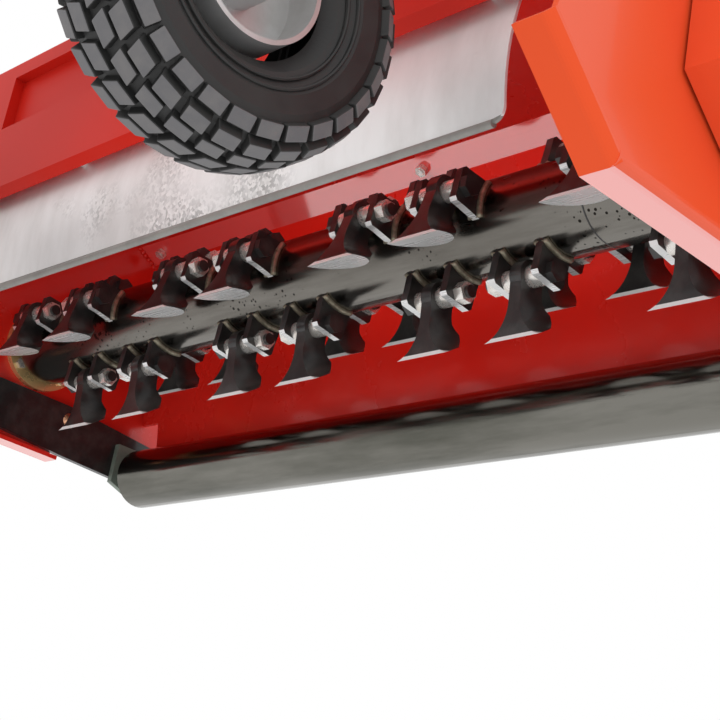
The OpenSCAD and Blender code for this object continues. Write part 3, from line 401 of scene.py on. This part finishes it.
ground_band = 0.0035
bare_colour = (0.75, 0.75, 0.74, 1)
ground_tilt = 30
row_hang = {"a": -14, "b": 4, "c": 0, "d": 71}
for row, hang in row_hang.items():
    flails = [name for name in bolts if name.startswith("flail_" + row)]
    bolt = bolts[flails[0]]
    reach = max(((v.co - bolt) * Vector(across_bolt)).length for v in nodes[flails[0]].data.vertices)
    painted = black_paint.copy()
    painted.name = "thin black paint, row " + row
    mask = add_node(
        painted.node_tree, "ShaderNodeGroup", {"node_tree": edge}, Bolt=bolt, Start=reach - ground_band)
    lay_over(painted, mask.outputs["Mask"], bare_colour)
    lower = Matrix.Rotation(math.radians(hang + ground_tilt), 3, "X") @ Vector((0, 0, -1))
    for name in flails:
        dress(painted, name)
        dress_faces(ground_steel_and_highlight, name, facing(lower, least=0.97))


# Ground roller: steel tube with its dark mill scale still on it, on stub axles. Its bearing plates are cut
# plate in grey primer with a green cast, bolted to black arms inside the side plates.
scaled_steel = finish(
    "mill-scaled tube", clean=(0.20, 0.193, 0.172), marked=(0.085, 0.085, 0.070), rough=0.15,
    marked_rough=0.26, cloud_scale=22.0, grain_scale=260.0, amount=0.9, bump=0.05, stretch=(0.14, 1.0, 1.0),
    Metallic=1.0)
grey_primer = finish(
    "grey primer", clean=(0.20, 0.25, 0.20), marked=(0.10, 0.11, 0.10), rough=0.4, marked_rough=0.6,
    cloud_scale=40.0, grain_scale=500.0, amount=0.6, bump=0.1)
dress(scaled_steel, "roller")
dress(grey_primer, "roller_plates")
dress(black_paint, "roller_arm_left", "roller_arm_right")


# Legs and drawbar: welded square tube in the hood's red coat. The legs slide in the deck's sockets, and the
# drawbar swings on its pin between the deck's cheeks.
dress(red_paint, "leg_left", "leg_right", "drawbar")


# Rims: pressed steel in silver paint. Each holds its tyre between its edges and turns on the stub axle of
# its leg.
silver_paint = finish(
    "silver paint", clean=(0.62, 0.62, 0.62), marked=(0.40, 0.39, 0.37), rough=0.35, marked_rough=0.5,
    cloud_scale=20.0, grain_scale=500.0, amount=0.5, bump=0.05, Metallic=0.6)
dress(silver_paint, "rim_left", "rim_right")


# Tyres: knobbly pneumatic rubber tyres on the rims, with three rows of moulded blocks on each half. The two
# halves are set half a step apart, so that a zigzag groove runs round the middle. Ribs ring the sidewalls.
tyre_rubber = finish(
    "tyre rubber", clean=(0.016, 0.016, 0.016), marked=(0.035, 0.034, 0.032), rough=0.5, marked_rough=0.75,
    cloud_scale=25.0, grain_scale=800.0, amount=0.6, bump=0.2)
# Lighter grey for the blocks' outer faces: dust, and painted light from below.
dusty_lit_tread_rubber = finish(
    "dusty tread rubber with painted light", clean=(0.125, 0.122, 0.128), marked=(0.19, 0.18, 0.175), rough=0.5,
    marked_rough=0.7, cloud_scale=45.0, grain_scale=800.0, amount=0.7, bump=0.2)
dress(tyre_rubber, "tyre_left", "tyre_right")
wall_steps = 90
blocks_round = 30
block_step = math.tau / blocks_round
block_soft = 0.0011
block_taper = 0.93
lit_top_least = 0.5
merge_reach = 0.00002
sidewall_ribs = [(0.0386, 0.086), (0.0362, 0.078)]
half_wall = [(0.024, 0.062), (0.033, 0.072), (0.040, 0.090), (0.041, 0.104), (0.037, 0.116), (0.029, 0.123),
             (0.016, 0.1265)]
crown = (0.0, 0.127)
carcass = [(-x, r) for x, r in half_wall] + [crown] + half_wall[::-1]


def tread_row(bm, half, across, radius, width, length, height, lean, slant):
    block = bmesh.ops.create_cube(bm, size=1)["verts"]
    bmesh.ops.scale(bm, vec=(width, length, height), verts=block)
    for corner in block:
        corner.co.y += half * slant * corner.co.x
        if corner.co.z > 0:
            corner.co.x *= block_taper
            corner.co.y *= block_taper
    edges = once_each(line for corner in block for line in corner.link_edges)
    soft = bmesh.ops.bevel(
        bm, geom=edges, offset=block_soft, segments=2, profile=0.5, affect="EDGES", material=-1)
    block = once_each(vert for face in soft["faces"] for vert in face.verts)
    tip = Matrix.Rotation(half * lean, 3, "Y")
    begin = Matrix.Rotation(half * block_step / 4, 3, "X")
    bmesh.ops.rotate(bm, cent=(0, 0, 0), matrix=tip, verts=block)
    bmesh.ops.translate(bm, vec=(half * across, 0, radius), verts=block)
    bmesh.ops.rotate(bm, cent=(0, 0, 0), matrix=begin, verts=block)
    faces = once_each(face for vert in block for face in vert.link_faces)
    outward = begin @ tip @ Vector((0, 0, 1))
    for face in faces:
        face.normal_update()
        # The blocks' outer faces take the lighter rubber: dust and painted light.
        face.material_index = 1 if face.normal.dot(outward) > lit_top_least else 0
    bmesh.ops.spin(bm, geom=faces, cent=(0, 0, 0), axis=(1, 0, 0), use_duplicate=True,
                   angle=math.tau - block_step, steps=blocks_round - 1)


for side in ("left", "right"):
    bm = bmesh.new()
    line = [bm.verts.new((x, 0, r)) for x, r in carcass]
    wall = [bm.edges.new(pair) for pair in zip(line, line[1:])]
    bmesh.ops.spin(bm, geom=line + wall, cent=(0, 0, 0), axis=(1, 0, 0), angle=math.tau, steps=wall_steps,
                   use_merge=True)
    for half in (-1, 1):
        tread_row(bm, half, across=0.0096, radius=0.1277, width=0.0156, length=0.0215, height=0.009,
                  lean=math.radians(3), slant=0.30)
        tread_row(bm, half, across=0.026, radius=0.1255, width=0.0152, length=0.0215, height=0.009,
                  lean=math.radians(14), slant=0.30)
        tread_row(bm, half, across=0.0375, radius=0.1155, width=0.013, length=0.022, height=0.008,
                  lean=math.radians(58), slant=0.0)
    for half in (-1, 1):
        for rib_x, rib_r in sidewall_ribs:
            swept_ring(bm, along=half * rib_x, radius=rib_r, thick=0.0016, wide=0.0022, steps=wall_steps)
    bmesh.ops.remove_doubles(bm, verts=bm.verts, dist=merge_reach)
    bmesh.ops.translate(bm, vec=joint_places["wheel_" + side + "_spin"], verts=bm.verts)
    tread = new_piece("tyre_tread_" + side, bm, tyre_rubber, "wheel_" + side, smooth=False)
    tread.data.materials.append(dusty_lit_tread_rubber)
    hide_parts("tyre_" + side)


# Engine: cast aluminium block, black moulded cowl and air cleaner, red tank and a heat-stained muffler.
# It stands on the deck, with its shaft towards the belt drive.
cast_metal = finish(
    "cast aluminium", clean=(0.45, 0.45, 0.45), marked=(0.30, 0.29, 0.28), rough=0.45, marked_rough=0.6,
    cloud_scale=20.0, grain_scale=350.0, amount=0.6, bump=0.4, Metallic=0.7)
moulded_black = finish(
    "moulded black", clean=(0.02, 0.02, 0.02), marked=(0.05, 0.05, 0.048), rough=0.45, marked_rough=0.6,
    cloud_scale=15.0, grain_scale=900.0, amount=0.5, bump=0.3)
stained_steel = finish(
    "heat-stained steel", clean=(0.42, 0.40, 0.37), marked=(0.26, 0.18, 0.12), rough=0.4, marked_rough=0.6,
    cloud_scale=18.0, grain_scale=400.0, amount=0.8, bump=0.2, Metallic=0.8)
dress(cast_metal, "engine_block")
dress(moulded_black, "engine_cowl")
dress(red_paint, "fuel_tank")
dress(stained_steel, "muffler")


# Belt drive: grooved pulleys in grey primer on the engine's and the rotor's shafts, a black rubber belt, and
# a cover folded from sheet in the lighter orange red that paints light on the side plates, on stand-offs
# from the right plate.
dress(grey_primer, "rotor_pulley", "engine_pulley")
dress(tyre_rubber, "drive_belt")
# The whole cover takes the lighter orange red that stands in for light on the side plates.
dress(lit_orange_red_paint, "belt_cover")


# Studio: a pale floor that lets the view from below through, a white world, soft lamps that stay out of
# the reflections, and the photograph's camera.
floor_size = 60
bpy.ops.mesh.primitive_plane_add(size=floor_size, location=(0, 0, 0))
floor = bpy.context.object
floor.name = "floor"
floor_look = bpy.data.materials.new("pale floor")
floor_look.use_nodes = True
tree = floor_look.node_tree
pale = set_node(tree, tree.nodes["Principled BSDF"], Base_Color=(0.86, 0.86, 0.86, 1), Roughness=0.8)
clear = add_node(tree, "ShaderNodeBsdfTransparent")
below = add_node(tree, "ShaderNodeNewGeometry").outputs["Backfacing"]
rays = add_node(tree, "ShaderNodeLightPath").outputs
from_above = calculate(
    tree, "ShaderNodeMath", "SUBTRACT", rays["Is Camera Ray"], below, clamp=True)["Value"]
either = tree.nodes.new("ShaderNodeMixShader")
for socket, value in zip(either.inputs, (from_above, clear.outputs["BSDF"], pale.outputs["BSDF"])):
    feed(tree, socket, value)
set_node(tree, tree.nodes["Material Output"], Surface=either.outputs["Shader"])
floor.data.materials.append(floor_look)

lit_level = 0.85
seen_level = 1.0
world = bpy.data.worlds.new("studio")
bpy.context.scene.world = world
world.use_nodes = True
tree = world.node_tree
rays = add_node(tree, "ShaderNodeLightPath").outputs
seen = calculate(tree, "ShaderNodeMath", "MAXIMUM", rays["Is Camera Ray"], rays["Is Glossy Ray"])["Value"]
seen = calculate(tree, "ShaderNodeMath", "MAXIMUM", seen, rays["Is Transmission Ray"])["Value"]
level = add_node(tree, "ShaderNodeMapRange", Value=seen, To_Min=lit_level, To_Max=seen_level)
set_node(tree, tree.nodes["Background"], Color=(1, 1, 1, 1), Strength=level.outputs["Result"])


def soft_lamp(name, place, aim, wide, high, power):
    lamp = bpy.data.objects.new(name, bpy.data.lights.new(name, "AREA"))
    lamp.data.shape = "RECTANGLE"
    lamp.data.size = wide
    lamp.data.size_y = high
    lamp.data.energy = power
    lamp.visible_glossy = False
    lamp.location = place
    lamp.rotation_euler = (Vector(aim) - Vector(place)).to_track_quat("-Z", "Y").to_euler()
    bpy.context.collection.objects.link(lamp)


soft_lamp("lamp right", place=(3.2, -1.2, 1.2), aim=(0, 0.3, 0.2), wide=2.0, high=2.0, power=20)
soft_lamp("lamp low", place=(0.1, -1.4, -0.9), aim=(0, 0.42, 0.2), wide=1.2, high=1.2, power=3)
soft_lamp("lamp under the hood", place=(0.04, 0.235, 0.325), aim=(0.04, 0.55, 0.315), wide=0.75, high=0.03,
          power=0.7)
soft_lamp("lamp front", place=(-0.8, -3.4, 2.2), aim=(0, 0.2, 0.2), wide=2.4, high=2.4, power=14)

camera = bpy.data.objects.new("camera", bpy.data.cameras.new("camera"))
bpy.context.collection.objects.link(camera)
bpy.context.scene.camera = camera
camera.data.sensor_width = 36
camera.data.lens = 80.08
camera_place = (1.1372, -0.5261, -0.4879)
right = Vector((0.68595, 0.70730, 0.17088))
down = Vector((-0.14303, 0.36131, -0.92141))
ahead = Vector((-0.71346, 0.60760, 0.34900))
turn = Matrix((right, -down, -ahead)).transposed().to_4x4()
camera.matrix_world = Matrix.Translation(camera_place) @ turn
bpy.context.scene.view_settings.view_transform = "Standard"
